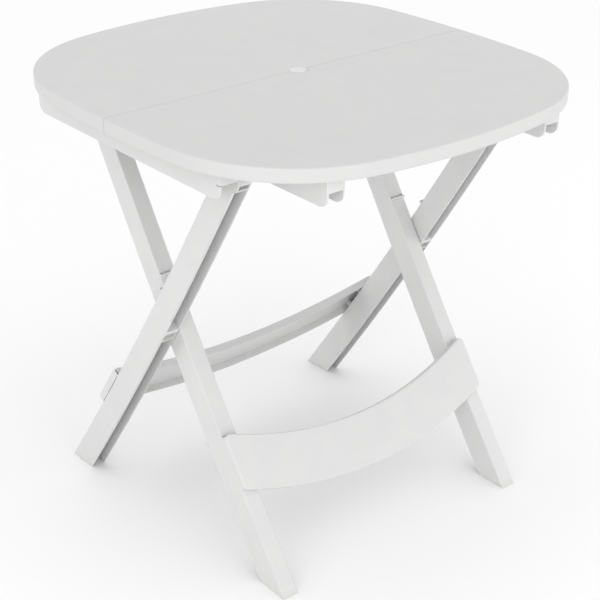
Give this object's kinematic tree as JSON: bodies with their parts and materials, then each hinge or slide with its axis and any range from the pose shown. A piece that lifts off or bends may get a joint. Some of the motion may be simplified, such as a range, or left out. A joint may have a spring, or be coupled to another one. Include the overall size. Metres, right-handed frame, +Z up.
{
  "type": "folding picnic table",
  "caption": "Folding picnic table with a bowed rectangular top in two halves on crossed channel legs tied by curved cross rails.",
  "frame": {"origin": "on the floor below the middle of the seam between the two halves of the top", "axes": "+X along the seam and the cross rails, -Y to the front (the inner legs' feet), +Z up"},
  "size_m": [0.72, 0.772, 0.7357],
  "materials": {
    "top": "satin injection-moulded polypropylene",
    "frame": "satin injection-moulded polypropylene",
    "plug": "smooth polypropylene",
    "pivot_pins": "smooth nylon",
    "steel_screws": "zinc-plated steel"
  },
  "bodies": {
    "outer_frame": {"outer_leg_left": "frame", "outer_leg_right": "frame", "back_rail": "frame", "rail_screws_back": "steel_screws", "crossing_pins": "pivot_pins", "outer_head_pins": "pivot_pins"},
    "inner_frame": {"inner_leg_left": "frame", "inner_leg_right": "frame", "front_rail": "frame", "rail_screws_front": "steel_screws", "inner_head_pins": "pivot_pins"},
    "back_half": {"top_half_back": "top", "outer_beam_left": "frame", "outer_beam_right": "frame", "beam_screws_back": "steel_screws", "umbrella_hole_plug": "plug"},
    "front_half": {"top_half_front": "top", "inner_beam_left": "frame", "inner_beam_right": "frame", "beam_screws_front": "steel_screws"}
  },
  "joints": [
    {"name": "leg_fold", "type": "hinge", "parent": "outer_frame", "child": "inner_frame", "pos_m": [0, 0, 0.372], "axis": [1, 0, 0], "range_deg": [0, 63.6]},
    {"name": "back_half_pivot", "type": "hinge", "parent": "outer_frame", "child": "back_half", "pos_m": [0, -0.201, 0.69], "axis": [1, 0, 0], "range_deg": [0, 107.68]},
    {"name": "front_half_pivot", "type": "hinge", "parent": "inner_frame", "child": "front_half", "pos_m": [0, 0.201, 0.69], "axis": [-1, 0, 0], "range_deg": [0, 107.68]}
  ],
  "couplings": [
    {"joint": "back_half_pivot", "follows": "leg_fold", "ratio": 1.69},
    {"joint": "front_half_pivot", "follows": "leg_fold", "ratio": 1.69}
  ]
}
